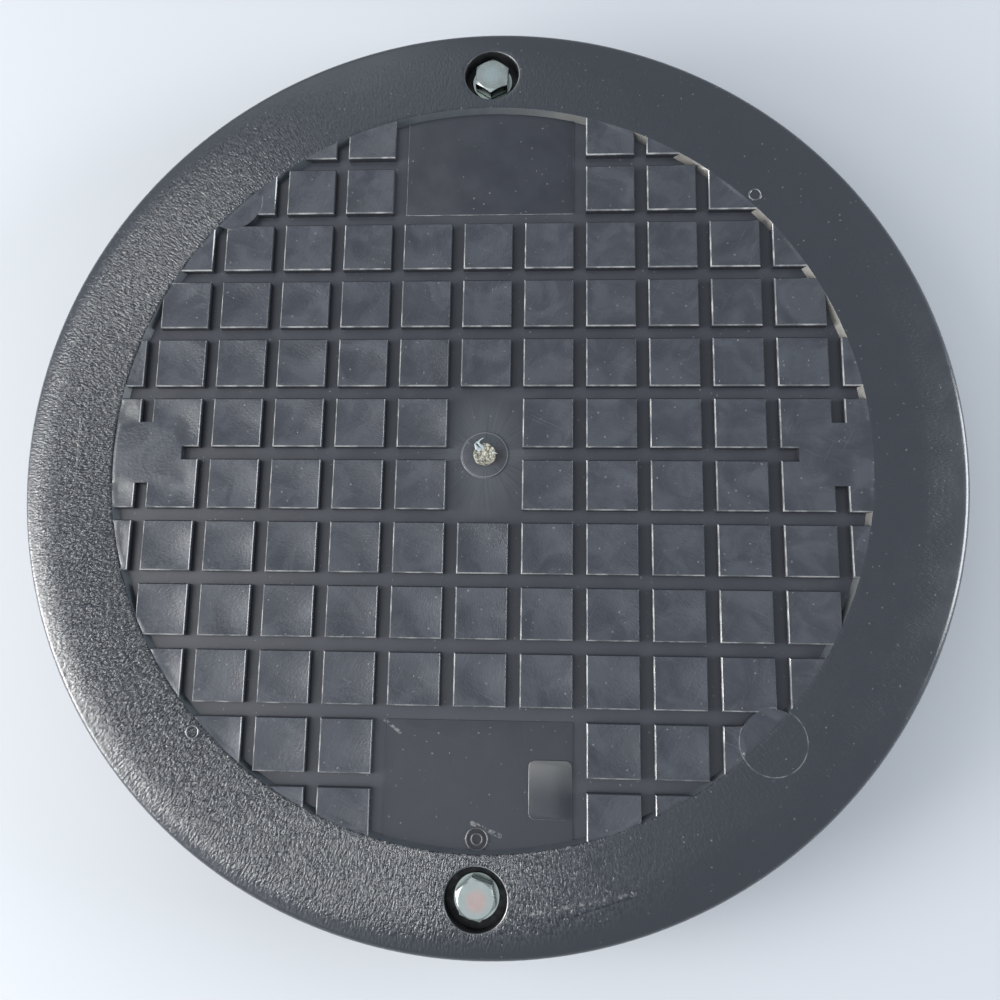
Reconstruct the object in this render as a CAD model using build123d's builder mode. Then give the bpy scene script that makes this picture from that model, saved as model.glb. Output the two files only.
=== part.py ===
from build123d import *
import math
import os

# Bolt-down plastic manhole cover with a chequered tread, lying on its locating collar.
# Millimetres. Origin at the centre of the collar's lower edge, +Z up, +Y towards lock 1.

# Overall sizes of the moulding
outer_r = 180.0
tread_h = 42.0

# Tread pattern: square pads parted by streets
pitch = 24.0
street_w = 4.8
street_depth = 3.0
pad_chamfer = 0.45
least_overlap = 0.6
field_wall_run = 1.4

# Plain places in the tread
panel_columns = 3
panel_l = 45.6
panel_rise = 0.35
label_w = 15.6
label_h = 20.4
label_side_gap = 0.1
label_end_gap = 11.8
label_corner_r = 2.4
label_rise = 0.4
key_block_l = 27.0
key_block_w = 24.0
disc_r = 11.5
disc_past_field = 2.8
dot_ring_r = 2.7
dot_ring_past_field = 3.6
dot_ring_w = 0.9
dot_ring_rise = 0.25
date_from_field = 4.8
date_outer_r = 4.2
date_inner_r = 2.3
date_ring_w = 0.8
date_rise = 0.5
gate_disc_r = 9.2
gate_disc_rise = 0.3
gate_stub_r = 3.9
gate_stub_h = 0.9

# Plate, rim and outer lip
plate_t = 3.5
rim_t = 4.5
rim_slope_w = 17.0
rim_drop = 1.2
rim_step_w = 2.0
block_into_rim = 4.0
edge_r = 2.8
lip_t = 3.0
lip_depth = 14.0

# Locating collar
collar_inset = 8.0
collar_t = 3.5
collar_toe = 0.8

# Stiffening ribs under the plate
rib_t = 3.0
rib_clear_h = 16.0
rib_count = 16
rib_rings = 4
hub_r = 14.0
rib_root = 0.5

# Locks: screw pocket, bolt, washer and nut
lock_from_collar = 9.5
pocket_from_field = 4.0
pocket_r = 11.0
pocket_depth = 7.2
pocket_floor_t = 4.8
pocket_wall = 1.8
bolt_d = 8.0
bolt_length = 30.0
bolt_tip_chamfer = 0.9
hex_af = 13.0
head_h = 5.3
head_face_h = 0.4
head_face_r = 5.8
hex_top_r = 6.2
hex_bevel = 30.0
hex_turns = (-4.0, 12.0)
hole_clearance = 0.25
washer_d = 16.0
washer_t = 1.6
nut_h = 6.5
nut_side_clearance = 0.1
thread_clearance = 0.05
bolt_below_nut = 1.6

# Swing catch and its stops
catch_t = 10.0
catch_hub_r = 8.4
catch_tip_r = 6.0
catch_reach = 17.0
catch_nose_t = 6.0
catch_edge = 0.6
catch_gap = 0.5
sweep_gap = 2.5
stop_t = 3.0
stop_w = 8.0

# Radii and places worked out from the sizes above
collar_r = outer_r - collar_inset
collar_inner_r = collar_r - collar_t
lip_inner_r = outer_r - lip_t
lock_r = collar_inner_r - lock_from_collar
field_r = lock_r - pocket_r - pocket_from_field
pad_size = pitch - street_w
panel_w = panel_columns * pitch - street_w
panel_inner_y = field_r - panel_l
label_x = panel_w / 2 - label_side_gap - label_w / 2
label_y = label_end_gap + label_h / 2 - field_r
date_y = date_from_field - field_r
disc_at = (field_r + disc_past_field) * math.sqrt(0.5)
dot_ring_at = (field_r + dot_ring_past_field) * math.sqrt(0.5)

# Levels worked out from the sizes above
street_z = tread_h - street_depth
plate_under_z = street_z - plate_t
rim_under_z = tread_h - rim_t
pocket_floor_z = tread_h - pocket_depth
boss_z = pocket_floor_z - pocket_floor_t
boss_r = pocket_r + pocket_wall
bolt_hole_r = bolt_d / 2 + hole_clearance
head_under_z = pocket_floor_z + washer_t
bolt_end_z = head_under_z - bolt_length
catch_z = bolt_end_z + bolt_below_nut
catch_tip_y = catch_reach - catch_tip_r
catch_slope = math.asin((catch_hub_r - catch_tip_r) / catch_tip_y)


def catch_half_width(along):
    """Half the catch's width at a distance from its pivot."""
    return (catch_hub_r - along * math.sin(catch_slope)) / math.cos(catch_slope)


def pad_centres():
    """Centres of the pads that reach into the field, without the plain places."""
    centres = []
    reach = math.ceil(field_r / pitch)
    for column in range(-reach, reach + 1):
        for row in range(-reach, reach):
            x = column * pitch
            y = (row + 0.5) * pitch
            near_x = max(abs(x) - pad_size / 2, 0)
            near_y = abs(y) - pad_size / 2
            in_field = math.hypot(near_x, near_y) < field_r - least_overlap
            in_panel = abs(x) < panel_w / 2 and near_y > panel_inner_y - street_w
            at_gate = column == 0 and near_y < pitch / 2
            if in_field and not in_panel and not at_gate:
                centres.append((x, y))
    return centres


def lock_plane(side, z):
    """A level plane on a lock's axis: x points out of the cover, y along the parked catch."""
    return Plane(origin=(0, side * lock_r, z), x_dir=(0, side, 0), z_dir=(0, 0, 1))


def lock_section(side, z):
    """An upright plane on a lock's axis: x along the parked catch, y up."""
    return Plane(origin=(0, side * lock_r, z), x_dir=(-side, 0, 0), z_dir=(0, side, 0))


def hex_plane(side, z, turn):
    """A level plane on a lock's axis, turned as its bolt happens to stand."""
    return lock_plane(side, z).rotated((0, 0, turn))


def bevel_foot_r(height):
    """Foot radius of the cone that bevels a hexagon's corners over this height."""
    return hex_top_r + height / math.tan(math.radians(hex_bevel))


# Cover: one moulding with tread, rim, lip, collar, ribs and lock bosses
with BuildPart() as cover:
    # Plate, rim, lip and collar as one turned section
    with BuildSketch(Plane.XZ):
        with BuildLine():
            lip_z = tread_h - lip_depth
            Polyline(
                (0, street_z),
                (field_r - field_wall_run, street_z),
                (field_r, tread_h),
                (outer_r - rim_slope_w, tread_h),
                (outer_r, tread_h - rim_drop),
                (outer_r, lip_z),
                (lip_inner_r, lip_z),
                (lip_inner_r, rim_under_z),
                (collar_r, rim_under_z),
                (collar_r, collar_toe),
                (collar_r - collar_toe, 0),
                (collar_inner_r + collar_toe, 0),
                (collar_inner_r, collar_toe),
                (collar_inner_r, rim_under_z),
                (field_r + rim_step_w, rim_under_z),
                (field_r, plate_under_z),
                (0, plate_under_z),
                (0, street_z),
            )
        make_face()
        rim_corner = vertices().group_by(Axis.X)[-1].sort_by(Axis.Y)[-1]
        fillet(rim_corner, edge_r)
    revolve(axis=Axis.Z)

    # Ribs: rings of straight webs between the spokes, and a round hub
    rib_top_z = rim_under_z + rib_root
    with BuildSketch(Plane.XY.offset(rib_top_z)):
        half_sector = 180 / rib_count
        ring_step = collar_inner_r / (rib_rings + 1)
        for ring in range(rib_rings, 0, -1):
            for web_edge, mode in ((rib_t / 2, Mode.ADD), (-rib_t / 2, Mode.SUBTRACT)):
                RegularPolygon(ring * ring_step + web_edge, rib_count, rotation=half_sector, mode=mode)
        Circle(hub_r + rib_t / 2)
        Circle(hub_r - rib_t / 2, mode=Mode.SUBTRACT)
        spoke_l = collar_inner_r + rib_root - hub_r
        with PolarLocations(hub_r + spoke_l / 2, rib_count, start_angle=half_sector):
            Rectangle(spoke_l, rib_t)
    extrude(amount=rib_clear_h - rib_top_z)

    # Lock bosses, catch stops, screw pockets, bolt holes and collar windows
    window_z = -collar_toe
    sweep_w = math.sqrt(catch_reach**2 - lock_from_collar**2) + sweep_gap
    locked_stop_w = catch_half_width(lock_from_collar) + catch_gap
    parked_stop_x = catch_half_width(catch_tip_y - stop_w / 2) + catch_gap + stop_t / 2
    for side in (1, -1):
        with BuildSketch(lock_plane(side, rib_top_z)):
            Circle(boss_r)
        extrude(amount=boss_z - rib_top_z)
        with BuildSketch(lock_plane(side, rib_top_z)):
            with Locations((-parked_stop_x, catch_tip_y)):
                Rectangle(stop_t, stop_w)
        extrude(amount=catch_z - rib_top_z)
        with BuildSketch(lock_plane(side, tread_h)):
            Circle(pocket_r)
        extrude(amount=-pocket_depth, mode=Mode.SUBTRACT)
        with BuildSketch(lock_plane(side, pocket_floor_z)):
            Circle(bolt_hole_r)
        extrude(amount=-pocket_floor_t, mode=Mode.SUBTRACT)
        with BuildSketch(lock_plane(side, window_z)):
            with Locations((lock_from_collar, (sweep_w - locked_stop_w) / 2)):
                Rectangle(3 * collar_t, sweep_w + locked_stop_w)
        extrude(amount=boss_z - window_z, mode=Mode.SUBTRACT)

    # Plain blocks and discs flush with the pads
    with BuildSketch(Plane.XY.offset(street_z)):
        block_l = key_block_l + block_into_rim
        for side in (1, -1):
            with Locations((side * (field_r + block_into_rim - block_l / 2), 0)):
                Rectangle(block_l, key_block_w)
            with Locations((side * disc_at, -side * disc_at)):
                Circle(disc_r)
    extrude(amount=street_depth)

    # Two bare panels, the bare label plate, the date ring and the gate disc
    with BuildSketch(Plane.XY.offset(street_z)):
        Rectangle(panel_w, 2 * field_r)
        Rectangle(panel_w, 2 * panel_inner_y, mode=Mode.SUBTRACT)
        Circle(field_r, mode=Mode.INTERSECT)
    extrude(amount=panel_rise)
    with BuildSketch(Plane.XY.offset(street_z)):
        with Locations((label_x, label_y)):
            RectangleRounded(label_w, label_h, label_corner_r)
    extrude(amount=panel_rise + label_rise)
    with BuildSketch(Plane.XY.offset(street_z)):
        with Locations((0, date_y)):
            for ring_r in (date_outer_r, date_inner_r):
                Circle(ring_r)
                Circle(ring_r - date_ring_w, mode=Mode.SUBTRACT)
    extrude(amount=panel_rise + date_rise)
    with BuildSketch(Plane.XY.offset(street_z)):
        Circle(gate_disc_r)
    extrude(amount=gate_disc_rise)
    with BuildSketch(Plane.XY.offset(street_z)):
        Circle(gate_stub_r)
    extrude(amount=gate_disc_rise + gate_stub_h)

    # Two dot rings on the rim, beside the tread
    with BuildSketch(Plane.XY.offset(tread_h - pad_chamfer)):
        with Locations((dot_ring_at, dot_ring_at), (-dot_ring_at, -dot_ring_at)):
            Circle(dot_ring_r)
            Circle(dot_ring_r - dot_ring_w, mode=Mode.SUBTRACT)
    extrude(amount=pad_chamfer + dot_ring_rise)

    # Pads: an upright foot and a chamfered top
    with BuildSketch(Plane.XY.offset(street_z)):
        with Locations(*pad_centres()):
            Rectangle(pad_size, pad_size)
    extrude(amount=street_depth - pad_chamfer)
    with BuildSketch(Plane.XY.offset(tread_h - pad_chamfer)):
        with Locations(*pad_centres()):
            Rectangle(pad_size, pad_size)
    extrude(amount=pad_chamfer, taper=45)
cover.part.label = "cover"

os.makedirs("parts", exist_ok=True)
export_step(cover.part, "parts/cover.step")

# Locks: two bolts with washers, and the catches that hold their nuts
for number, (side, turn) in enumerate(zip((1, -1), hex_turns), start=1):
    # Bolt: bevelled hexagon head, bearing face and plain-drawn threaded shank
    with BuildPart() as lock_bolt:
        with BuildSketch(hex_plane(side, head_under_z + head_face_h, turn)):
            RegularPolygon(hex_af / 2, 6, major_radius=False)
        extrude(amount=head_h - head_face_h)
        with Locations((0, side * lock_r, head_under_z + head_h)):
            from_top = (Align.CENTER, Align.CENTER, Align.MAX)
            Cone(bevel_foot_r(head_h), hex_top_r, head_h, align=from_top, mode=Mode.INTERSECT)
        with BuildSketch(lock_plane(side, head_under_z)):
            Circle(head_face_r)
        extrude(amount=head_face_h)
        with BuildSketch(lock_plane(side, head_under_z)):
            Circle(bolt_d / 2)
        extrude(amount=-bolt_length)
        chamfer(lock_bolt.edges().group_by(Axis.Z)[0], bolt_tip_chamfer)
    lock_bolt.part.label = f"lock_bolt_{number}"
    export_step(lock_bolt.part, f"parts/lock_bolt_{number}.step")

    # Flat washer on the pocket's floor
    with BuildPart() as washer:
        with BuildSketch(lock_plane(side, pocket_floor_z)):
            Circle(washer_d / 2)
            Circle(bolt_hole_r, mode=Mode.SUBTRACT)
        extrude(amount=washer_t)
    washer.part.label = f"washer_{number}"
    export_step(washer.part, f"parts/washer_{number}.step")

    # Hexagon nut, bevelled at its lower end
    with BuildPart() as lock_nut:
        with BuildSketch(lock_plane(side, catch_z)):
            RegularPolygon(hex_af / 2, 6, major_radius=False)
            Circle(bolt_d / 2 + thread_clearance, mode=Mode.SUBTRACT)
        extrude(amount=nut_h)
        with Locations((0, side * lock_r, catch_z + nut_h / 2)):
            Cone(hex_top_r, bevel_foot_r(nut_h), nut_h, mode=Mode.INTERSECT)
    lock_nut.part.label = f"lock_nut_{number}"
    export_step(lock_nut.part, f"parts/lock_nut_{number}.step")

    # Catch: tapered arm with a round hub, nut pocket below, thinner nose
    with BuildPart() as catch:
        with BuildSketch(lock_plane(side, catch_z)) as plan:
            Circle(catch_hub_r)
            with Locations((0, catch_tip_y)):
                Circle(catch_tip_r)
            make_hull()
        extrude(amount=catch_t)
        chamfer(catch.edges().group_by(Axis.Z)[-1], catch_edge)
        with BuildSketch(lock_section(side, catch_z)):
            with BuildLine():
                Polyline(
                    (catch_hub_r, 0),
                    (catch_reach, catch_t - catch_nose_t),
                    (catch_reach + catch_edge, catch_t - catch_nose_t),
                    (catch_reach + catch_edge, -catch_edge),
                    (catch_hub_r, -catch_edge),
                    close=True,
                )
            make_face()
        extrude(amount=catch_hub_r, both=True, mode=Mode.SUBTRACT)
        with BuildSketch(lock_plane(side, catch_z)):
            RegularPolygon(hex_af / 2 + nut_side_clearance, 6, major_radius=False)
        extrude(amount=nut_h, mode=Mode.SUBTRACT)
        with BuildSketch(lock_plane(side, catch_z)):
            Circle(bolt_hole_r)
        extrude(amount=catch_t, mode=Mode.SUBTRACT)
    catch.part.label = f"swing_catch_{number}"
    export_step(catch.part, f"parts/swing_catch_{number}.step")
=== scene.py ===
import math

import bmesh
import bpy
from mathutils import Euler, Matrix, Vector, bvhtree, geometry, kdtree, noise


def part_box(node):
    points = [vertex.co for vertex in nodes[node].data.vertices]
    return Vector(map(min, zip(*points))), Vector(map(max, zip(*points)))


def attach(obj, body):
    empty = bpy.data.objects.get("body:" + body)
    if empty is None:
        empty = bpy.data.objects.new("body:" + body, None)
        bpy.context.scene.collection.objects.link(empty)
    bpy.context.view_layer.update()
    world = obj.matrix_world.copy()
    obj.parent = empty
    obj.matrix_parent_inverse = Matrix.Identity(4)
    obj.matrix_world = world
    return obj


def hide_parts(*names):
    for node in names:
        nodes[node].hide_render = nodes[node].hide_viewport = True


# Looks of a bolt-down plastic manhole cover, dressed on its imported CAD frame.
# Metres, in the frame's own axes; shader patterns are worked out in millimetres.
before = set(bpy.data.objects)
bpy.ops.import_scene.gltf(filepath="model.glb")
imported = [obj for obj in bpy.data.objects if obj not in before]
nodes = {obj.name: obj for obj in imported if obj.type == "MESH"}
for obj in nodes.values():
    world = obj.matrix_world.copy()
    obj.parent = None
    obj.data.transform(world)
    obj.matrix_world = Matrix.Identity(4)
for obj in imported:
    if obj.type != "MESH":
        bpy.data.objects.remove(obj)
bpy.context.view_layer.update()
MM = 0.001

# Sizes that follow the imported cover
OUTER_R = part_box("cover")[1].x
TREAD_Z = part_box("cover")[1].z - 0.25 * MM
STREET_Z = TREAD_Z - 3 * MM
FIELD_R = OUTER_R - 36 * MM
RIM_SAG_R = FIELD_R + 4 * MM
PITCH = 24 * MM
STREET_W = 4.8 * MM
FIELD_WALL_RUN = 1.4 * MM
PAD_CHAMFER = 0.45 * MM
PAD_HALF = (PITCH - STREET_W) / 2 - PAD_CHAMFER
BLOCK_INNER_X = FIELD_R - 27 * MM
BLOCK_HALF_W = 12 * MM
DISC_R = 11.5 * MM
RING_LINE_R = 11.9 * MM
DISC_AT = (FIELD_R + 2.8 * MM) * math.sqrt(0.5)
LABEL_AT = (25.7 * MM, 22 * MM - FIELD_R)
DATE_AT = (0, 4.8 * MM - FIELD_R)
POCKET_R = 11 * MM
LOCKS = [sum(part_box(f"washer_{n}"), Vector()) / 2 for n in (1, 2)]

# Camera, matched to the grid of pads in the photograph
CAMERA_AT = (25.64 * MM, -78.06 * MM, 373.83 * MM)
CAMERA_TURN = (10.304, 3.175, 0.937)
LENS = 32.53

# Finish
PAD_DISH = 0.8 * MM
DISH_POWER = 2.1
GROOVE_DEPTH = 0.4 * MM
GROOVE_HALF_W = 0.5 * MM
EDGE_R = 2.8 * MM
EDGE_ROWS, EDGE_AROUND = 8, 264
RIM_SAG = 1.5 * MM
RIM_SAG_POWER = 2.6
STEP_START = (9.4, -149.2)
STEP_RUN = Vector((25.0, -11.4)).normalized()
STEP_LENGTH = 36
STEP_W = 3.5
STEP_DEPTH = 0.5 * MM
BACKGROUND = (0.62, 0.66, 0.71)

# Single marks on the top, in plan, in millimetres
# Pads beside the left key block that are painted paler
PALEST_PADS_AT = ((-141.5, 17.5), (-141.0, -16.5))
PALE_PADS_AT = ((-114.0, 13.0), (-114.0, -8.0))
PAD_FLECK = (-85.3, 48.5)
# Where the torn gate's painted shadow lies on the street
GATE_SHADOW_AT = (5.0, -0.6)
GATE_RING_R = 8.6
STREET_SMEARS = (((-2.0, -133.9), (8.0, -138.0), 1.0), ((-34.5, -99.0), (-28.8, -103.1), 0.8))
RIM_LINE = ((-158.5, 12.8), (-157.9, -11.1))
# A pale line painted along the lit side of the fold beside lock 2: painted highlight
RIM_FOLD_GLINT = ((10.7, -164.7), (55.0, -155.5))
RIM_CREASE = ((34.4, -162.0), (53.3, -155.6))
RIM_PITS = ((-116.0, -83.9), (-113.6, -86.0), (-114.2, -109.9), (-96.6, -131.4))

# Limits between finishes; a face's tilt is 1 when it is level and 0 when it is upright
UPRIGHT_TILT, FLAT_TILT = 0.02, 0.97
WALL_TILT = (0.3, 0.6)
CHAMFER_TILT = (0.68, 0.73)
POCKET_DEPTH = 7.5 * MM
GRAIN_DEPTH = 5 * MM
LABEL_R = 13.5 * MM
ON_OUTSIDE_R = OUTER_R - 0.005 * MM

# Bevels, and the angles from which an edge stays sharp
WELD = 1e-6
MOUTH_BEVEL = 0.5 * MM
RING_BEVEL = 0.34 * MM
MARK_BEVEL = 0.24 * MM
MARK_ANGLE = math.radians(60)
DATE_RING_R = 5 * MM
PAD_SHARP, COVER_SHARP = math.radians(50), math.radians(26)
BOLT_SHARP, TORN_SHARP = math.radians(24), math.radians(60)

# M8 thread
THREAD_R = 4 * MM
THREAD_LEAD = 1.25 * MM
THREAD_DEPTH = 0.7 * MM
THREAD_AROUND, THREAD_ROWS = 40, 6
TIP_TAPER = 0.9 * MM

# Torn gate at the centre, and its shreds as points in millimetres with their half width
GATE_R = 4.15 * MM
GATE_RINGS, GATE_AROUND = 14, 60
SHRED_SECTION = ((1, 0), (0.3, 0.3), (-0.3, 0.22), (-1, -0.05), (0, -0.2))
SHREDS = (
    (
        ((-0.5, 2.2, 40.4), (-1.6, 3.2, 41.2), (-2.6, 4.4, 41.3), (-1.6, 5.6, 40.9), (-0.6, 6.4, 40.2)),
        0.62,
    ),
    (((-1.6, 1.4, 40.5), (-2.9, 2.2, 41.1), (-3.6, 3.6, 40.9), (-3.0, 4.9, 40.3)), 0.85),
    (((2.6, 0.6, 40.4), (3.8, 0.5, 40.8), (4.9, 0.1, 40.6)), 0.4),
)

# Floor and light: each lamp has its azimuth and elevation, side in metres, glow and colour
FLOOR_HALF = 3
FLOOR_BLEND = (400, 950)
FILL, FILL_STRENGTH = (0.80, 0.90, 1.0), 0.40
LAMP_DISTANCE = 1.3
LAMPS = (
    ("window_head", 182, 58, 0.55, 1.8, (1.0, 0.99, 0.97)),
    ("window_top", 180, 38, 0.6, 6.0, (1.0, 0.99, 0.97)),
    ("window_foot", 195, 15, 0.68, 20.5, (1.0, 0.99, 0.97)),
    ("ceiling", 240, 74, 0.7, 0.9, (0.90, 0.95, 1.0)),
    ("north", 116, 40, 0.6, 1.1, (0.90, 0.95, 1.0)),
    ("south", 232, 36, 0.4, 2.2, (0.94, 0.97, 1.0)),
    ("east", 3, 16, 0.66, 15.5, (0.92, 0.96, 1.0)),
)


# Node-tree helper: every value in a pattern is either a socket or a number
class Recipe:
    def __init__(self, name):
        self.material = bpy.data.materials.new(name)
        self.material.use_nodes = True
        self.tree = self.material.node_tree
        self.shader = self.tree.nodes["Principled BSDF"]
        place = self.add("ShaderNodeTexCoord")
        self.facing = self.split(place.outputs["Normal"])
        self.mm = self.vector("SCALE", place.outputs["Object"], scale=1 / MM)
        self.x, self.y, self.z = self.split(self.mm)
        self.plan = self.join(self.x, self.y)
        squares = self.add_up(self.times(self.x, self.x), self.times(self.y, self.y))
        self.radius = self.math("SQRT", squares)

    def add(self, kind, **settings):
        node = self.tree.nodes.new(kind)
        for key, value in settings.items():
            setattr(node, key, value)
        return node

    def put(self, socket, value):
        if isinstance(value, bpy.types.NodeSocket):
            self.tree.links.new(value, socket)
        else:
            socket.default_value = value

    def math(self, operation, a, b=0.0):
        node = self.add("ShaderNodeMath", operation=operation)
        self.put(node.inputs[0], a)
        self.put(node.inputs[1], b)
        return node.outputs[0]

    def times(self, a, b):
        return self.math("MULTIPLY", a, b)

    def add_up(self, first, *rest):
        total = first
        for value in rest:
            total = self.math("ADD", total, value)
        return total

    def most(self, first, *rest):
        """The highest of several values."""
        top = first
        for value in rest:
            top = self.math("MAXIMUM", top, value)
        return top

    def vector(self, operation, a, b=(0, 0, 0), scale=1.0):
        """The result of a vector sum; b is a socket or three numbers."""
        node = self.add("ShaderNodeVectorMath", operation=operation)
        self.put(node.inputs[0], a)
        self.put(node.inputs[1], b)
        if operation == "SCALE":
            node.inputs["Scale"].default_value = scale
        return node.outputs["Value" if operation == "DISTANCE" else "Vector"]

    def away(self, x, y):
        """Distance in plan from this point."""
        return self.vector("DISTANCE", self.plan, (x, y, 0))

    def split(self, vector):
        node = self.add("ShaderNodeSeparateXYZ")
        self.put(node.inputs[0], vector)
        return node.outputs[:]

    def join(self, x, y, z=0.0):
        node = self.add("ShaderNodeCombineXYZ")
        for socket, value in zip(node.inputs, (x, y, z)):
            self.put(socket, value)
        return node.outputs[0]

    def spread(self, value, low, high, to_low=0.0, to_high=1.0):
        """Value carried from the range low..high to another, smoothly and held at its ends."""
        node = self.add("ShaderNodeMapRange", interpolation_type="SMOOTHSTEP")
        for socket, number in zip(node.inputs, (value, low, high, to_low, to_high)):
            self.put(socket, number)
        return node.outputs[0]

    def noise(self, vector, size, detail=2.0, roughness=0.5, distortion=0.0):
        node = self.add("ShaderNodeTexNoise")
        self.put(node.inputs["Vector"], vector)
        for socket, number in (
            ("Scale", 1 / size),
            ("Detail", detail),
            ("Roughness", roughness),
            ("Distortion", distortion),
        ):
            node.inputs[socket].default_value = number
        return node.outputs["Fac"]

    def cells(self, vector, size):
        node = self.add("ShaderNodeTexVoronoi")
        self.put(node.inputs["Vector"], vector)
        node.inputs["Scale"].default_value = 1 / size
        return node

    def mix(self, share, a, b):
        node = self.add("ShaderNodeMix", data_type="RGBA")
        self.put(node.inputs["Factor"], share)
        for name, value in (("A", a), ("B", b)):
            socket = [s for s in node.inputs if s.name == name and s.type == "RGBA"][0]
            self.put(socket, value if isinstance(value, bpy.types.NodeSocket) else (*value, 1))
        return [s for s in node.outputs if s.type == "RGBA"][0]

    def bump(self, height, depth, under=None):
        """Relief of this depth in millimetres, on top of another relief where given."""
        node = self.add("ShaderNodeBump")
        node.inputs["Strength"].default_value = 1.0
        node.inputs["Distance"].default_value = depth * MM
        self.put(node.inputs["Height"], height)
        if under is not None:
            self.put(node.inputs["Normal"], under)
        return node.outputs[0]

    def finish(self, colour, roughness, normal=None, metallic=0.0, specular=0.5):
        for name, value in (("Base Color", colour), ("Roughness", roughness), ("Normal", normal)):
            if value is not None:
                self.put(self.shader.inputs[name], value if not isinstance(value, tuple) else (*value, 1))
        self.shader.inputs["Metallic"].default_value = metallic
        self.shader.inputs["Specular IOR Level"].default_value = specular
        return self.material


# Marks that several finishes share
def flow_streaks(recipe, width=0.6):
    """Fine hairs that run out from the gate, as the melt flowed."""
    share = recipe.math("DIVIDE", 100 / width, recipe.math("MAXIMUM", recipe.radius, 6.0))
    along = recipe.times(recipe.radius, 0.045)
    hair = recipe.join(recipe.times(recipe.x, share), recipe.times(recipe.y, share), along)
    return recipe.noise(hair, 1.0, detail=3.0, roughness=0.6, distortion=0.4)


def dust(recipe, spacing, dot_size, share):
    """Small pale specks in this share of the cells."""
    cell = recipe.cells(recipe.mm, spacing)
    lucky = recipe.split(cell.outputs["Color"])[0]
    size = recipe.spread(lucky, 1 - share, 1.0, 0.0, dot_size)
    ragged = recipe.spread(recipe.noise(recipe.mm, 0.25, detail=1.0), 0.25, 0.75, 0.5, 1.9)
    return recipe.math("LESS_THAN", recipe.times(cell.outputs["Distance"], ragged), size)


def scratches(recipe, angle):
    """Sparse straight hairline scratches that run one way."""
    length, width, threshold = 26.0, 0.16, 0.72
    turn = recipe.add("ShaderNodeVectorRotate", rotation_type="Z_AXIS")
    recipe.put(turn.inputs["Vector"], recipe.mm)
    turn.inputs["Angle"].default_value = math.radians(angle)
    along, across, _ = recipe.split(turn.outputs[0])
    stretched = recipe.join(recipe.times(along, 1 / length), recipe.times(across, 1 / width))
    return recipe.spread(recipe.noise(stretched, 1.0, detail=1.0), threshold, threshold + 0.04)


def disc_rings(recipe):
    """Fine pale lines round the two discs."""
    spots = []
    for side in (1, -1):
        away = recipe.away(side * DISC_AT / MM, -side * DISC_AT / MM)
        off = recipe.math("ABSOLUTE", recipe.add_up(away, -RING_LINE_R / MM))
        spots.append(recipe.spread(off, 0.06, 0.28, 1.0, 0.0))
    patches = recipe.spread(recipe.noise(recipe.mm, 5.0, detail=3.0), 0.42, 0.62, 0.08, 0.75)
    return recipe.times(recipe.most(*spots), patches)


def near(recipe, x, y, low, high):
    """One close to a point in plan, falling to nothing between two distances."""
    return recipe.spread(recipe.away(x, y), low, high, 1.0, 0.0)


def paler_pads(recipe):
    """The small pads beside the left key block, painted paler than the rest."""
    palest = [near(recipe, x, y, 5.0, 8.0) for x, y in PALEST_PADS_AT]
    pale_ones = [near(recipe, x, y, 4.0, 9.0) for x, y in PALE_PADS_AT]
    return recipe.most(*palest, recipe.times(recipe.most(*pale_ones), 0.5))


def stroke(recipe, start, end, half_width):
    """One along the line between two points in plan, in millimetres, falling off at its sides."""
    run = Vector(end) - Vector(start)
    along, across, _ = recipe.split(recipe.vector("SUBTRACT", recipe.plan, (*start, 0)))
    share = recipe.add_up(
        recipe.times(along, run.x / run.length_squared),
        recipe.times(across, run.y / run.length_squared),
    )
    share = recipe.math("MINIMUM", recipe.math("MAXIMUM", share, 0.0), 1.0)
    foot = recipe.join(recipe.times(share, run.x), recipe.times(share, run.y))
    away = recipe.vector("DISTANCE", recipe.join(along, across), foot)
    return recipe.spread(away, half_width * 0.4, half_width, 1.0, 0.0)


def leather(recipe, around, along):
    """Short wrinkles that run out from the middle; around is how many fit a radian."""
    share = recipe.math("DIVIDE", around, recipe.math("MAXIMUM", recipe.radius, 6.0))
    x, y = recipe.times(recipe.x, share), recipe.times(recipe.y, share)
    spot = recipe.join(x, y, recipe.times(recipe.radius, 1 / along))
    return recipe.noise(spot, 1.0, detail=2.0, roughness=0.55, distortion=0.3)


def towards(recipe, angle):
    """Half at the middle, and up to one on the side that faces this way."""
    a = math.radians(angle)
    run = recipe.add_up(recipe.times(recipe.x, math.cos(a)), recipe.times(recipe.y, math.sin(a)))
    return recipe.add_up(0.5, recipe.times(run, 0.5 * MM / OUTER_R))


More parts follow.
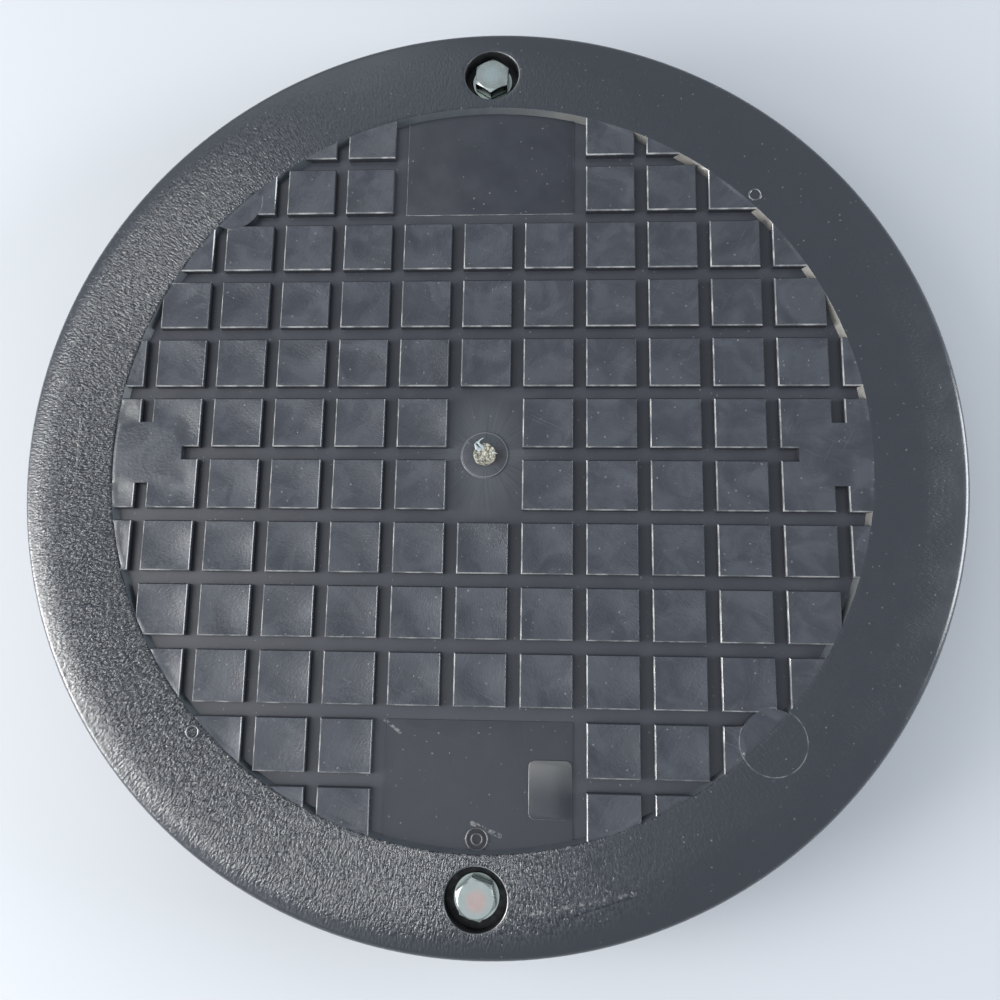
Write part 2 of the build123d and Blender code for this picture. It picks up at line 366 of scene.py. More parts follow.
# Plastic of the pads, blocks and discs: glossy skin with stains, hairs and dust
def tread_plastic():
    recipe = Recipe("tread_plastic")
    hairs = flow_streaks(recipe)
    blotch = recipe.noise(recipe.mm, 13.0, detail=5.0, roughness=0.55, distortion=0.8)
    dried = recipe.spread(blotch, 0.48, 0.60)
    specks = recipe.times(dust(recipe, 2.4, 0.13, 0.55), 0.5)
    lines = recipe.most(scratches(recipe, 24), scratches(recipe, -63))
    dirt = recipe.most(specks, recipe.times(lines, 0.25))
    tone = recipe.add_up(recipe.times(hairs, 0.15), recipe.times(blotch, 0.85))
    colour = recipe.mix(recipe.spread(tone, 0.25, 0.75), (0.027, 0.030, 0.039), (0.053, 0.059, 0.072))
    colour = recipe.mix(recipe.times(paler_pads(recipe), 0.5), colour, (0.110, 0.113, 0.113))
    ring = recipe.most(disc_rings(recipe), near(recipe, *PAD_FLECK, 0.7, 1.4))
    colour = recipe.mix(recipe.most(dirt, recipe.times(ring, 0.6)), colour, (0.30, 0.30, 0.30))
    rough = recipe.spread(blotch, 0.35, 0.65, 0.21, 0.30)
    rough = recipe.add_up(rough, recipe.times(dried, 0.06), recipe.times(dirt, 0.25))
    wrinkles = leather(recipe, 130, 1.4)
    normal = recipe.bump(wrinkles, 0.11)
    normal = recipe.bump(recipe.noise(recipe.mm, 0.4), 0.03, under=normal)
    return recipe.finish(colour, rough, normal)


# Plastic of the streets, panels and their walls: duller, browner
def street_plastic():
    recipe = Recipe("street_plastic")
    hairs = flow_streaks(recipe, 0.8)
    cloud = recipe.noise(recipe.mm, 9.0, detail=4.0)
    specks = recipe.times(dust(recipe, 2.1, 0.13, 0.5), 0.5)
    colour = recipe.mix(cloud, (0.027, 0.029, 0.037), (0.041, 0.044, 0.054))
    on_panel = recipe.spread(recipe.z, STREET_Z / MM + 0.1, STREET_Z / MM + 0.3)
    panel = recipe.mix(cloud, (0.015, 0.017, 0.024), (0.026, 0.029, 0.038))
    colour = recipe.mix(on_panel, colour, panel)
    fan = recipe.times(near(recipe, 0, 0, 7.0, 30.0), recipe.spread(hairs, 0.35, 0.65))
    colour = recipe.mix(recipe.times(fan, 0.8), colour, (0.085, 0.091, 0.105))
    # Painted shadow: a dark brown patch on the street just right of the torn gate
    blotch = recipe.times(near(recipe, *GATE_SHADOW_AT, 1.0, 4.5), 0.7)
    colour = recipe.mix(blotch, colour, (0.022, 0.016, 0.015))
    line = recipe.math("ABSOLUTE", recipe.add_up(recipe.radius, -GATE_RING_R))
    colour = recipe.mix(recipe.spread(line, 0.07, 0.20, 0.8, 0.0), colour, (0.16, 0.165, 0.175))
    smear = recipe.most(*[stroke(recipe, *line) for line in STREET_SMEARS])
    fray = recipe.spread(recipe.noise(recipe.mm, 1.2, detail=3.0), 0.40, 0.60)
    colour = recipe.mix(recipe.times(smear, recipe.times(fray, 0.6)), colour, (0.26, 0.26, 0.25))
    date_x, date_y = DATE_AT[0] / MM, DATE_AT[1] / MM
    colour = recipe.mix(near(recipe, date_x, date_y, 3.9, 4.3), colour, (0.007, 0.007, 0.009))
    colour = recipe.mix(specks, colour, (0.30, 0.30, 0.29))
    rough = recipe.spread(cloud, 0.3, 0.7, 0.30, 0.42)
    fine = recipe.noise(recipe.mm, 0.3, detail=2.0)
    normal = recipe.bump(hairs, 0.03, under=recipe.bump(fine, 0.014))
    return recipe.finish(colour, rough, normal)


# Plastic of the pads' bevelled edges: those that face left and down are painted pale as painted highlight,
# patchy like wear; the rest stay dark
def edge_plastic():
    recipe = Recipe("edge_plastic")
    wear_and_highlight = recipe.noise(recipe.mm, 7.0, detail=3.0, roughness=0.5)
    pale_wear_and_highlight = recipe.mix(recipe.spread(wear_and_highlight, 0.40, 0.66), (0.13, 0.135, 0.145), (0.36, 0.36, 0.36))
    # Painted highlight: only edges that face -x and -y, towards the window lamps, take the pale tone
    faces_lamps = recipe.add_up(recipe.times(recipe.facing[0], -1.0), recipe.times(recipe.facing[1], -0.55))
    colour = recipe.mix(recipe.spread(faces_lamps, 0.0, 0.5), (0.035, 0.038, 0.046), pale_wear_and_highlight)
    nicks = recipe.noise(recipe.mm, 0.5, detail=2.0)
    return recipe.finish(colour, 0.26, recipe.bump(nicks, 0.02), specular=0.9)


# Plastic of the pads' upright sides: dark and glossy
def side_plastic():
    recipe = Recipe("side_plastic")
    drag = recipe.noise(recipe.mm, 1.5, detail=2.0)
    colour = recipe.mix(drag, (0.018, 0.019, 0.024), (0.034, 0.036, 0.042))
    return recipe.finish(colour, 0.24, recipe.bump(drag, 0.03))


# Plastic inside the screw pockets, painted near black as painted shade in them
def shaded_pocket_plastic():
    recipe = Recipe("shaded_pocket_plastic")
    pocket_shade_cloud = recipe.noise(recipe.mm, 2.0, detail=3.0)
    # Painted shade: the colour stays near black to stand in for the shade down the pockets
    colour = recipe.mix(pocket_shade_cloud, (0.008, 0.009, 0.011), (0.020, 0.020, 0.020))
    rough = recipe.spread(pocket_shade_cloud, 0.3, 0.7, 0.3, 0.6)
    return recipe.finish(colour, rough, recipe.bump(pocket_shade_cloud, 0.05), specular=0.3)


# Plastic of the slanted wall round the field; on its upper right side, which faces the window lamps, it is
# painted pale and warm as painted light
def wall_plastic():
    recipe = Recipe("wall_plastic")
    cloud = recipe.noise(recipe.mm, 6.0, detail=3.0)
    lit_side_paint = recipe.mix(cloud, (0.115, 0.113, 0.107), (0.22, 0.212, 0.197))
    wall_tone = recipe.mix(cloud, (0.040, 0.048, 0.056), (0.075, 0.085, 0.093))
    # Painted light: the upper right side of the wall is painted pale, as if lit by the lamps at the left
    colour = recipe.mix(recipe.spread(towards(recipe, 32), 0.68, 0.88), wall_tone, lit_side_paint)
    fine = recipe.noise(recipe.mm, 0.3, detail=2.0)
    return recipe.finish(colour, 0.33, recipe.bump(fine, 0.012))


# Plastic of the rim: coarse leather grain, plain at its outer edge
def rim_plastic():
    recipe = Recipe("rim_plastic")
    wrinkles = leather(recipe, 215, 1.7)
    pores = recipe.noise(recipe.mm, 0.55, detail=2.0, roughness=0.6)
    height = recipe.add_up(wrinkles, recipe.times(pores, 0.15))
    specks = recipe.times(dust(recipe, 2.4, 0.13, 0.5), 0.4)
    outer = recipe.spread(recipe.radius, OUTER_R / MM - 14, OUTER_R / MM - 2, 1.0, 0.12)
    coarse = recipe.spread(towards(recipe, 203), 0.42, 0.90, 0.10, 1.1)
    grain = recipe.times(outer, coarse)
    height = recipe.times(height, grain)
    # Painted light and shade in the grain: valleys darker and peaks lighter, strongest where the grain is
    # coarse on the lower left; the relief itself is the bump below
    grain_sheen_and_shade = recipe.mix(recipe.spread(wrinkles, 0.35, 0.65), (0.008, 0.011, 0.017), (0.044, 0.049, 0.058))
    colour = recipe.mix(recipe.spread(grain, 0.05, 0.5), (0.024, 0.028, 0.036), grain_sheen_and_shade)
    line = stroke(recipe, *RIM_LINE, 0.35)
    # Painted highlight along the lit side of the fold beside lock 2, broken up by noise
    fold_glint = stroke(recipe, *RIM_FOLD_GLINT, 0.9)
    fray = recipe.spread(recipe.noise(recipe.mm, 2.0, detail=3.0), 0.45, 0.65)
    fold_glint = recipe.times(fold_glint, recipe.times(fray, 0.5))
    rings = recipe.times(disc_rings(recipe), 0.6)
    marks = recipe.most(specks, rings, recipe.times(line, 0.35), fold_glint)
    pit = recipe.most(*[near(recipe, x, y, 0.3, 0.9) for x, y in RIM_PITS])
    crease = stroke(recipe, *RIM_CREASE, 1.6)
    height = recipe.add_up(height, recipe.times(pit, -0.9), recipe.times(crease, 0.25))
    colour = recipe.mix(marks, colour, (0.30, 0.30, 0.29))
    cloud = recipe.noise(recipe.mm, 12.0, detail=3.0)
    rough = recipe.spread(cloud, 0.3, 0.7, 0.22, 0.29)
    return recipe.finish(colour, rough, recipe.bump(height, 1.75))


# Plastic of the bare label plate: smoother, a little sunk towards its foot, and painted lighter towards
# its top as painted sheen
def label_plastic():
    recipe = Recipe("label_plastic")
    cloud = recipe.noise(recipe.mm, 5.0, detail=3.0)
    low_y, high_y = LABEL_AT[1] / MM - 4, LABEL_AT[1] / MM + 12
    colour = recipe.mix(cloud, (0.020, 0.023, 0.029), (0.030, 0.033, 0.039))
    # Painted sheen: lighter towards the plate's top, darker at its foot
    colour = recipe.mix(recipe.spread(recipe.y, low_y, high_y), colour, (0.105, 0.105, 0.105))
    rise = recipe.bump(recipe.spread(recipe.y, low_y, high_y), 0.5)
    fine = recipe.noise(recipe.mm, 0.5, detail=2.0)
    return recipe.finish(colour, 0.22, recipe.bump(fine, 0.02, under=rise))


# Plain plastic of the hidden sides: satin with faint tool marks
def plain_plastic(name, colour_low, colour_high):
    recipe = Recipe(name)
    cloud = recipe.noise(recipe.mm, 14.0, detail=3.0)
    fine = recipe.noise(recipe.mm, 0.4, detail=2.0)
    colour = recipe.mix(cloud, colour_low, colour_high)
    rough = recipe.spread(cloud, 0.3, 0.7, 0.44, 0.50)
    return recipe.finish(colour, rough, recipe.bump(fine, 0.008))


# Torn plastic of the gate: creased, with a pale stressed skin
def torn_plastic():
    recipe = Recipe("torn_plastic")
    crinkle = recipe.noise(recipe.mm, 0.8, detail=4.0, roughness=0.65)
    colour = recipe.mix(recipe.spread(crinkle, 0.36, 0.64), (0.05, 0.05, 0.042), (0.44, 0.42, 0.34))
    return recipe.finish(colour, 0.5, recipe.bump(crinkle, 0.15))


def floor_paper():
    """Pale paper that turns into the plain background away from the cover."""
    recipe = Recipe("floor_paper")
    recipe.finish((0.505, 0.52, 0.55), 0.9)
    far = recipe.add("ShaderNodeEmission")
    far.inputs["Color"].default_value = (*BACKGROUND, 1)
    blend = recipe.add("ShaderNodeMixShader")
    recipe.put(blend.inputs[0], recipe.spread(recipe.radius, *FLOOR_BLEND))
    recipe.put(blend.inputs[1], recipe.shader.outputs[0])
    recipe.put(blend.inputs[2], far.outputs[0])
    recipe.put(recipe.tree.nodes["Material Output"].inputs["Surface"], blend.outputs[0])
    return recipe.material


# Pale plastic of the thin shreds round the gate
def shred_plastic():
    recipe = Recipe("shred_plastic")
    cloud = recipe.noise(recipe.mm, 0.7, detail=3.0)
    colour = recipe.mix(cloud, (0.14, 0.17, 0.18), (0.60, 0.68, 0.70))
    return recipe.finish(colour, 0.35, recipe.bump(cloud, 0.05))


# Zinc of the bolts, washers and nuts, with another tint on each bolt's head
def zinc_plate():
    recipe = Recipe("zinc_plate")
    cloud = recipe.noise(recipe.mm, 3.0, detail=2.0)
    fine = recipe.noise(recipe.mm, 0.35, detail=2.0)
    colour = recipe.mix(cloud, (0.22, 0.26, 0.252), (0.35, 0.375, 0.36))
    colour = recipe.mix(near(recipe, 0.2, -159.4, 1.8, 5.2), colour, (0.36, 0.285, 0.265))
    colour = recipe.mix(near(recipe, 0.0, 159.0, 1.8, 5.2), colour, (0.33, 0.39, 0.385))
    rough = recipe.spread(cloud, 0.3, 0.7, 0.20, 0.30)
    return recipe.finish(colour, rough, recipe.bump(fine, 0.004), metallic=1.0)


TREAD, STREET, RIM, PLAIN, EDGE, WALL, LABEL, SIDE, POCKET = range(9)
cover_finishes = [
    tread_plastic(),
    street_plastic(),
    rim_plastic(),
    plain_plastic("plain_plastic", (0.019, 0.021, 0.025), (0.030, 0.032, 0.036)),
    edge_plastic(),
    wall_plastic(),
    label_plastic(),
    side_plastic(),
    shaded_pocket_plastic(),
]
zinc = zinc_plate()
catch_finish = plain_plastic("catch_plastic", (0.034, 0.036, 0.040), (0.050, 0.052, 0.056))
torn_finish = torn_plastic()
shred_finish = shred_plastic()


# Relief of the moulded top
def in_disc(x, y):
    return any(math.hypot(x - s * DISC_AT, y + s * DISC_AT) < DISC_R for s in (1, -1))


def in_block(x, y):
    return in_disc(x, y) or abs(x) > BLOCK_INNER_X and abs(y) < BLOCK_HALF_W and math.hypot(x, y) < FIELD_R


def dish(x, y):
    """How far a pad's top has sunk at this place as the plastic cooled."""
    column, row = round(x / PITCH), math.floor(y / PITCH)
    across = (x - column * PITCH) / PAD_HALF
    along = (y - (row + 0.5) * PITCH) / PAD_HALF
    if max(abs(across), abs(along)) >= 1 or in_block(x, y):
        return 0.0
    chance = noise.noise_vector(Vector((column * 3.1, row * 2.7, 0.4)))
    depth = PAD_DISH * (1 + 0.25 * chance.x)
    edge = min(1, max(0, (FIELD_R - math.hypot(x, y)) / (1.2 * MM)))
    return depth * edge * (1 - abs(across) ** DISH_POWER) * (1 - abs(along) ** DISH_POWER)


def groove(x, y):
    """Depth of the witness groove round the field, which fades out at the upper right."""
    away = abs(math.hypot(x, y) - FIELD_R)
    lower_left = 0.5 - 0.5 * math.cos(math.atan2(y, x) - math.radians(45))
    return GROOVE_DEPTH * min(1, 1.6 * lower_left) * max(0, 1 - away / GROOVE_HALF_W)


def rim_wave(x, y):
    """Slow waviness of the rim, with a step where the plastic sank beside lock 2."""
    off = Vector((x, y)) / MM - Vector(STEP_START)
    along, across = off.dot(STEP_RUN), off.dot(STEP_RUN.orthogonal())
    ends = min(1, max(0, 1 + along / 6)) * min(1, max(0, (STEP_LENGTH - along) / 10))
    drop = min(1, max(0, across / STEP_W)) * min(1, max(0, (STEP_W * 5 - across) / (STEP_W * 3)))
    wave = noise.noise(Vector((x, y, 0)) / (30 * MM))
    return 0.06 * MM * wave - STEP_DEPTH * max(0, ends) * drop


def dome_rim(mesh):
    """Bends the rim down towards its edge, fading out down its side."""
    low_z, high_z = TREAD_Z - 6.5 * MM, TREAD_Z - 2.5 * MM
    for v in mesh.verts:
        share = (math.hypot(v.co.x, v.co.y) - RIM_SAG_R) / (OUTER_R - RIM_SAG_R)
        fade = min(1, max(0, (v.co.z - low_z) / (high_z - low_z)))
        if share > 0 and fade > 0:
            v.co.z -= RIM_SAG * fade * share**RIM_SAG_POWER


def ring_points(ring_r, spacing, turn=0.0):
    """Points round a circle in plan, with turn as a share of their spacing."""
    count = round(2 * math.pi * ring_r / spacing)
    angles = [2 * math.pi * (step + turn) / count for step in range(count)]
    return [(ring_r * math.cos(a), ring_r * math.sin(a)) for a in angles]


def grid_points():
    """Points to be laid on the pads' tops and round the rim, in plan."""
    points = []
    for off in (-1.6, -GROOVE_HALF_W / MM, 0, GROOVE_HALF_W / MM, 1.2):
        points += ring_points(FIELD_R + off * MM, 0.8 * MM)
    steps = [-0.98, -0.86, -0.64, -0.38, -0.12, 0.12, 0.38, 0.64, 0.86, 0.98]
    reach = math.ceil(FIELD_R / PITCH)
    for column in range(-reach, reach + 1):
        for row in range(-reach, reach):
            for across in steps:
                for along in steps:
                    x = (column + across * PAD_HALF / PITCH) * PITCH
                    y = (row + 0.5 + along * PAD_HALF / PITCH) * PITCH
                    if math.hypot(x, y) < FIELD_R - 2.2 * MM:
                        points.append((x, y))
    ring_step = 1.9 * MM
    for ring in range(2, int((OUTER_R - 3.2 * MM - FIELD_R) / ring_step) + 1):
        points += ring_points(FIELD_R + ring * ring_step, 2.3 * MM, 0.5 * (ring % 2))
    return points


def lay_net(mesh, verts, plan, edges, inside):
    """Joins verts by faces as they lie in plan, where inside accepts a face's middle."""
    found = geometry.delaunay_2d_cdt(plan, edges, [], 0, 1e-5)
    spots, faces, came_from = found[0], found[2], found[3]
    for face in faces:
        middle = sum((spots[i] for i in face), Vector((0, 0))) / len(face) * MM
        sources = [came_from[i] for i in face]
        if inside(middle) and all(sources):
            mesh.faces.new([verts[s[0]] for s in sources])


def border_of(mesh, patch):
    """The edges round a patch of faces, its verts on them, and the edges by number."""
    border = [e for e in mesh.edges if sum(f in patch for f in e.link_faces) == 1]
    corners = list(dict.fromkeys(v for e in border for v in e.verts))
    index = {v: i for i, v in enumerate(corners)}
    return border, corners, [(index[e.verts[0]], index[e.verts[1]]) for e in border]


def relay_edge(mesh):
    """Lays the rim's rounded edge anew in even rows."""
    low_z = max(v.co.z for v in mesh.verts if v.co.xy.length > ON_OUTSIDE_R)
    start_r = OUTER_R - EDGE_R
    slack = 0.03 * MM
    patch = [
        f
        for f in mesh.faces
        if all(v.co.xy.length > start_r - slack and v.co.z > low_z - slack for v in f.verts)
        and min(v.co.z for v in f.verts) < low_z + EDGE_R - slack
    ]
    verts, edges = border_of(mesh, set(patch))[1:]

    def unrolled(co):
        turn = math.atan2(co.xy.length - start_r, co.z - low_z)
        return co.xy.normalized() * (start_r + EDGE_R * turn) / MM

    for row in range(1, EDGE_ROWS):
        turn = math.pi / 2 * row / EDGE_ROWS
        ring_r = start_r + EDGE_R * math.sin(turn)
        first = len(verts)
        for x, y in ring_points(ring_r, 2 * math.pi * ring_r / EDGE_AROUND):
            verts.append(mesh.verts.new((x, y, low_z + EDGE_R * math.cos(turn))))
        edges += [(first + i, first + (i + 1) % EDGE_AROUND) for i in range(EDGE_AROUND)]
    plan = [unrolled(v.co) for v in verts]
    bmesh.ops.delete(mesh, geom=patch, context="FACES_ONLY")
    inner_r = min(spot.length for spot in plan) * MM
    lay_net(mesh, verts, plan, edges, lambda middle: middle.length > inner_r)


def relay_top(mesh):
    """Lays the flat top of the cover anew as an even net, with its sinks and waves."""
    low_z = TREAD_Z - 1.4 * MM
    top = [
        f
        for f in mesh.faces
        if f.normal.z > 0.995 and low_z < f.calc_center_median().z < TREAD_Z + 0.02 * MM
    ]
    border, corners, edges = border_of(mesh, set(top))
    surface = bvhtree.BVHTree.FromPolygons(
        [v.co.copy() for f in top for v in f.verts],
        [tuple(range(3 * i, 3 * i + 3)) for i in range(len(top))],
    )
    sky, down = 1.0, Vector((0, 0, -1))

    def landing(x, y):
        return surface.ray_cast(Vector((x, y, sky)), down)[0]

    samples = []
    for edge in border:
        a, b = edge.verts[0].co, edge.verts[1].co
        parts = max(1, math.ceil((b - a).length / (0.5 * MM)))
        samples += [a.lerp(b, step / parts) for step in range(parts)]
    tree = kdtree.KDTree(len(samples))
    for number, point in enumerate(samples):
        tree.insert((point.x, point.y, 0), number)
    tree.balance()
    inner = []
    for x, y in grid_points():
        hit = landing(x, y)
        away = math.hypot(x, y) - FIELD_R
        least = 0.15 * MM if away < 1.5 * MM else 0.7 * MM
        if hit is not None and tree.find((x, y, 0))[2] > least:
            sink = dish(x, y) if away < 0 else -rim_wave(x, y)
            inner.append(mesh.verts.new((x, y, hit.z - sink - groove(x, y))))
    everyone = corners + inner
    plan = [Vector((v.co.x, v.co.y)) / MM for v in everyone]
    bmesh.ops.delete(mesh, geom=top, context="FACES_ONLY")
    lay_net(mesh, everyone, plan, edges, lambda middle: landing(middle.x, middle.y) is not None)
    bmesh.ops.delete(mesh, geom=[e for e in mesh.edges if not e.link_faces], context="EDGES")
    bmesh.ops.delete(mesh, geom=[v for v in mesh.verts if not v.link_faces], context="VERTS")
    mesh.normal_update()


def finish_of(face):
    """Which of the cover's finishes a face takes."""
    middle = face.calc_center_median()
    radius = math.hypot(middle.x, middle.y)
    tilt = abs(face.normal.z)
    over_street = (middle.z - STREET_Z) / MM
    from_lock = min((middle - lock).xy.length for lock in LOCKS)
    if from_lock < POCKET_R + 0.1 * MM:
        return POCKET if middle.z > TREAD_Z - POCKET_DEPTH else PLAIN
    if from_lock < POCKET_R + MOUTH_BEVEL and 0.05 < tilt < FLAT_TILT and over_street > 1:
        return EDGE
    if over_street < -0.2:
        on_edge = min(v.co.xy.length for v in face.verts) < ON_OUTSIDE_R
        near_top = radius > OUTER_R - EDGE_R and middle.z > TREAD_Z - GRAIN_DEPTH
        return RIM if on_edge and near_top else PLAIN
    if FIELD_R - FIELD_WALL_RUN < radius < FIELD_R and WALL_TILT[0] < tilt < WALL_TILT[1]:
        return WALL
    if middle.z > TREAD_Z + 0.1 * MM:
        return EDGE
    if radius > FIELD_R:
        return RIM
    chamfered = CHAMFER_TILT[0] < tilt < CHAMFER_TILT[1] and TREAD_Z - PAD_CHAMFER < middle.z < TREAD_Z
    if chamfered and radius < FIELD_R - GROOVE_HALF_W:
        return EDGE
    if middle.z > TREAD_Z - PAD_CHAMFER - PAD_DISH * 1.5 and tilt > 0.5:
        return TREAD
    if tilt < UPRIGHT_TILT:
        return SIDE
    if over_street > 0.05 and tilt < FLAT_TILT:
        return EDGE
    on_label = over_street > 0.5 and (middle.xy - Vector(LABEL_AT)).length < LABEL_R
    return LABEL if on_label else STREET


def welded(data):
    """A workable copy of a mesh, with its doubled verts joined."""
    mesh = bmesh.new()
    mesh.from_mesh(data)
    bmesh.ops.remove_doubles(mesh, verts=mesh.verts, dist=WELD)
    mesh.normal_update()
    return mesh


def bevel(mesh, edges, width):
    bmesh.ops.bevel(mesh, geom=edges, offset=width, segments=2, profile=0.5, affect="EDGES")


def pocket_mouths(mesh):
    """The upper edges of the two screw pockets."""

    def on_mouth(co):
        at_wall = any(abs((co - lock).xy.length - POCKET_R) < 0.02 * MM for lock in LOCKS)
        return at_wall and co.z > TREAD_Z - 1.5 * MM

    return [edge for edge in mesh.edges if all(on_mouth(v.co) for v in edge.verts)]


def outward_edges(mesh, low_z, high_z):
    """Sharp outward edges that lie between two heights."""
    return [
        edge
        for edge in mesh.edges
        if len(edge.link_faces) == 2
        and all(low_z < v.co.z < high_z for v in edge.verts)
        and edge.calc_face_angle_signed(0) > MARK_ANGLE
    ]


def soften_marks(mesh):
    """Bevels the raised rings, dots and plates, the rings a little more."""
    raised = [
        edge
        for edge in outward_edges(mesh, STREET_Z + 0.25 * MM, STREET_Z + 1.3 * MM)
        if math.hypot(*edge.verts[0].co.xy) < FIELD_R - FIELD_WALL_RUN
    ]
    date_at = Vector(DATE_AT)
    on_rings = outward_edges(mesh, TREAD_Z + 0.2 * MM, math.inf)
    on_rings += [edge for edge in raised if (edge.verts[0].co.xy - date_at).length < DATE_RING_R]
    taken = set(on_rings)
    plainer = [edge for edge in raised if edge not in taken]
    bevel(mesh, on_rings, RING_BEVEL)
    bevel(mesh, [edge for edge in plainer if edge.is_valid], MARK_BEVEL)


def dress_cover():
    mesh = welded(nodes["cover"].data)
    relay_edge(mesh)
    relay_top(mesh)
    bevel(mesh, pocket_mouths(mesh), MOUTH_BEVEL)
    soften_marks(mesh)
    for face in mesh.faces:
        face.smooth = True
        face.material_index = finish_of(face)
    dome_rim(mesh)
    mesh.normal_update()
    for edge in mesh.edges:
        if len(edge.link_faces) == 2:
            on_pads = min(v.co.z for v in edge.verts) > TREAD_Z - 1.2 * MM
            edge.smooth = edge.calc_face_angle(0) < (PAD_SHARP if on_pads else COVER_SHARP)
    data = bpy.data.meshes.new("cover_moulding")
    mesh.to_mesh(data)
    mesh.free()
    for finish in cover_finishes:
        data.materials.append(finish)
    piece = bpy.data.objects.new("cover_moulding", data)
    bpy.context.scene.collection.objects.link(piece)
    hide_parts("cover")
    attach(piece, "cover")


def tube_faces(rows, around):
    """Four-sided faces between rows of verts that lie round a tube."""
    faces = []
    for row in range(rows):
        for step in range(around):
            a, b = row * around + step, row * around + (step + 1) % around
            faces.append((a, b, b + around, a + around))
    return faces


def new_piece(name, verts, faces, finish, body, sharp):
    """A piece of this mesh that rides on a body; edges bent by the angle sharp or more stay sharp."""
    data = bpy.data.meshes.new(name)
    data.from_pydata(verts, [], faces)
    data.materials.append(finish)
    mesh = bmesh.new()
    mesh.from_mesh(data)
    bmesh.ops.recalc_face_normals(mesh, faces=mesh.faces)
    for face in mesh.faces:
        face.smooth = True
    for edge in mesh.edges:
        if len(edge.link_faces) == 2:
            edge.smooth = edge.calc_face_angle(0) < sharp
    mesh.to_mesh(data)
    mesh.free()
    piece = bpy.data.objects.new(name, data)
    bpy.context.scene.collection.objects.link(piece)
    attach(piece, body)
    return piece


# Bolts: the CAD head with its shank cut as a real thread
def thread(centre, top_z, bottom_z):
    """Verts and faces of a threaded shank, open at its top, closed at its tip."""
    rows = round((top_z - bottom_z) / THREAD_LEAD * THREAD_ROWS)
    verts = []
    for row in range(rows + 1):
        z = top_z - (top_z - bottom_z) * row / rows
        for step in range(THREAD_AROUND):
            phase = (z / THREAD_LEAD - step / THREAD_AROUND) % 1
            cut = THREAD_DEPTH * (1 - abs(2 * phase - 1))
            fade = min(1, (top_z - z) / THREAD_LEAD)
            at_tip = max(0, TIP_TAPER - (z - bottom_z))
            r = min(THREAD_R - cut * fade, THREAD_R - at_tip)
            angle = 2 * math.pi * step / THREAD_AROUND
            verts.append((centre.x + r * math.cos(angle), centre.y + r * math.sin(angle), z))
    tip = tuple(range(rows * THREAD_AROUND, (rows + 1) * THREAD_AROUND))
    return verts, [*tube_faces(rows, THREAD_AROUND), tip]


def dress_bolt(number):
    head_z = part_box(f"washer_{number}")[1].z
    tip_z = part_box(f"lock_bolt_{number}")[0].z
    mesh = welded(nodes[f"lock_bolt_{number}"].data)
    shank = [f for f in mesh.faces if f.calc_center_median().z < head_z - 0.05 * MM]
    bmesh.ops.delete(mesh, geom=shank, context="FACES")
    mesh.verts.index_update()
    verts = [v.co[:] for v in mesh.verts]
    faces = [[v.index for v in f.verts] for f in mesh.faces]
    mesh.free()
    more, more_faces = thread(LOCKS[number - 1], head_z, tip_z)
    faces += [[i + len(verts) for i in f] for f in more_faces]
    name, body = f"bolt_{number}_metal", f"bolt_{number}"
    piece = new_piece(name, verts + more, faces, zinc, body, BOLT_SHARP)
    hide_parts(f"lock_bolt_{number}")


def give_finish(name, finish):
    """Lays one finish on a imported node."""
    nodes[name].data.materials.clear()
    nodes[name].data.materials.append(finish)


def dress_lock(number):
    dress_bolt(number)
    give_finish(f"washer_{number}", zinc)
    give_finish(f"lock_nut_{number}", zinc)
    give_finish(f"swing_catch_{number}", catch_finish)


# Torn gate: what is left of the sprue at the cover's centre
def gate_point(share, angle):
    """One point of the torn gate, at this share of its radius."""
    ragged = 1 + 0.07 * noise.noise(Vector((math.cos(angle) * 2.4, math.sin(angle) * 2.4, 5)))
    r = GATE_R * share * ragged
    x, y = r * math.cos(angle), r * math.sin(angle)
    crease = noise.noise(Vector((x, y, 0)) / (1.1 * MM))
    crease += 0.5 * noise.noise(Vector((x, y, 2)) / (0.5 * MM))
    lip = math.exp(-(((share - 0.9) / 0.1) ** 2)) * (0.55 - 0.35 * math.cos(angle - 0.6))
    return x, y, STREET_Z + (1.55 + 0.35 * crease + 0.5 * lip) * MM


def torn_gate():
    angles = [2 * math.pi * step / GATE_AROUND for step in range(GATE_AROUND)]
    verts = [gate_point(ring / GATE_RINGS, a) for ring in range(GATE_RINGS + 1) for a in angles]
    foot_z = STREET_Z + 0.2 * MM
    verts += [(x * 1.03, y * 1.03, foot_z) for x, y, _ in verts[-GATE_AROUND:]]
    faces = tube_faces(GATE_RINGS + 1, GATE_AROUND)
    new_piece("torn_gate", verts, faces, torn_finish, "cover", TORN_SHARP)


def shred(name, points, wide):
    """A thin torn shred: a bent strip that narrows to a point."""
    last, around = len(points) - 1, len(SHRED_SECTION)
    verts = []
    for number, point in enumerate(points):
        share = number / last
        ahead = Vector(points[min(number + 1, last)]) - Vector(points[max(number - 1, 0)])
        aside = Vector((-ahead.y, ahead.x, 0)).normalized() * wide * (1 - 0.8 * share)
        for out, up in SHRED_SECTION:
            lift = Vector((0, 0, up * wide * MM))
            verts.append(tuple((Vector(point) + aside * out) * MM + lift))
    ends = [tuple(range(around)), tuple(range(last * around, (last + 1) * around))]
    faces = tube_faces(last, around) + ends
    new_piece(name, verts, faces, shred_finish, "cover", TORN_SHARP)


# Pale floor and soft studio light
def lay_floor():
    signs = ((-1, -1), (1, -1), (1, 1), (-1, 1))
    corners = [(x * FLOOR_HALF, y * FLOOR_HALF, 0) for x, y in signs]
    data = bpy.data.meshes.new("floor")
    data.from_pydata(corners, [], [(0, 1, 2, 3)])
    data.materials.append(floor_paper())
    floor = bpy.data.objects.new("floor", data)
    bpy.context.scene.collection.objects.link(floor)


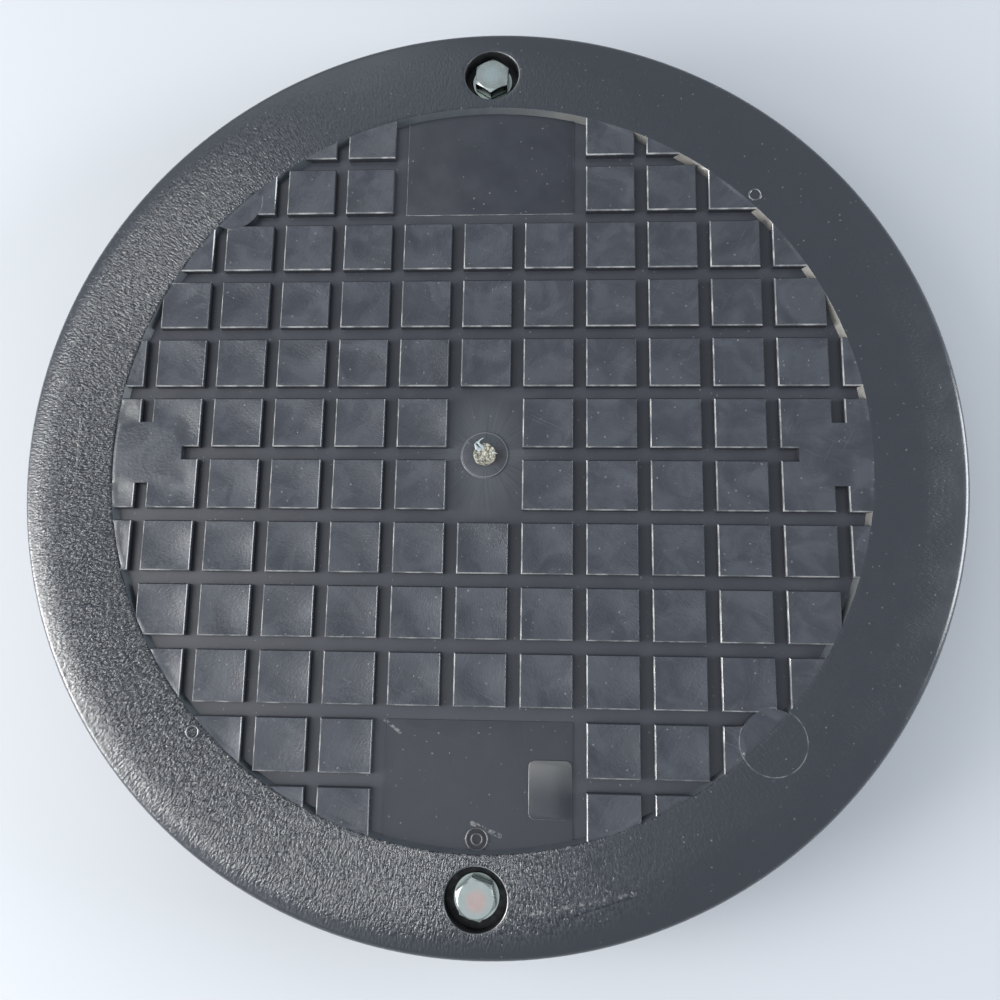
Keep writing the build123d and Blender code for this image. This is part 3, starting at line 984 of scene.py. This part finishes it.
def sky_place(azimuth, elevation):
    a, e = math.radians(azimuth), math.radians(elevation)
    x, y, z = math.cos(a) * math.cos(e), math.sin(a) * math.cos(e), math.sin(e)
    return LAMP_DISTANCE * x, LAMP_DISTANCE * y, LAMP_DISTANCE * z


def softbox(name, place, size, glow, colour):
    """A square lamp of this side that faces the cover; glow is its brightness."""
    lamp = bpy.data.lights.new(name, "AREA")
    lamp.size = size
    lamp.energy = math.pi * size**2 * glow
    lamp.color = colour
    holder = bpy.data.objects.new(name, lamp)
    holder.location = place
    holder.rotation_euler = (Vector((0, 0, TREAD_Z)) - Vector(place)).to_track_quat("-Z", "Y").to_euler()
    holder.visible_camera = False
    bpy.context.scene.collection.objects.link(holder)


def set_world():
    """Soft fill, and a plain pale background where a ray from the camera or a gloss meets it."""
    world = bpy.data.worlds.new("studio")
    bpy.context.scene.world = world
    world.use_nodes = True
    sky = world.node_tree
    fill = sky.nodes["Background"]
    fill.inputs["Color"].default_value = (*FILL, 1)
    fill.inputs["Strength"].default_value = FILL_STRENGTH
    plain = sky.nodes.new("ShaderNodeBackground")
    plain.inputs["Color"].default_value = (*BACKGROUND, 1)
    rays = sky.nodes.new("ShaderNodeLightPath")
    seen = rays.outputs["Is Camera Ray"]
    for ray in ("Is Glossy Ray", "Is Transmission Ray"):
        either = sky.nodes.new("ShaderNodeMath")
        either.operation = "MAXIMUM"
        sky.links.new(seen, either.inputs[0])
        sky.links.new(rays.outputs[ray], either.inputs[1])
        seen = either.outputs[0]
    blend = sky.nodes.new("ShaderNodeMixShader")
    sky.links.new(seen, blend.inputs[0])
    sky.links.new(fill.outputs[0], blend.inputs[1])
    sky.links.new(plain.outputs[0], blend.inputs[2])
    sky.links.new(blend.outputs[0], sky.nodes["World Output"].inputs["Surface"])


def set_camera():
    camera = bpy.data.objects.new("camera", bpy.data.cameras.new("camera"))
    camera.location = CAMERA_AT
    camera.rotation_euler = Euler([math.radians(a) for a in CAMERA_TURN])
    camera.data.lens = LENS
    camera.data.clip_start = 0.01
    bpy.context.scene.collection.objects.link(camera)
    bpy.context.scene.camera = camera
    bpy.context.scene.view_settings.view_transform = "Standard"


dress_cover()
for lock in (1, 2):
    dress_lock(lock)
torn_gate()
for number, (points, wide) in enumerate(SHREDS, 1):
    shred(f"gate_shred_{number}", points, wide)
lay_floor()
for name, azimuth, elevation, size, glow, colour in LAMPS:
    softbox(name, sky_place(azimuth, elevation), size, glow, colour)
set_world()
set_camera()
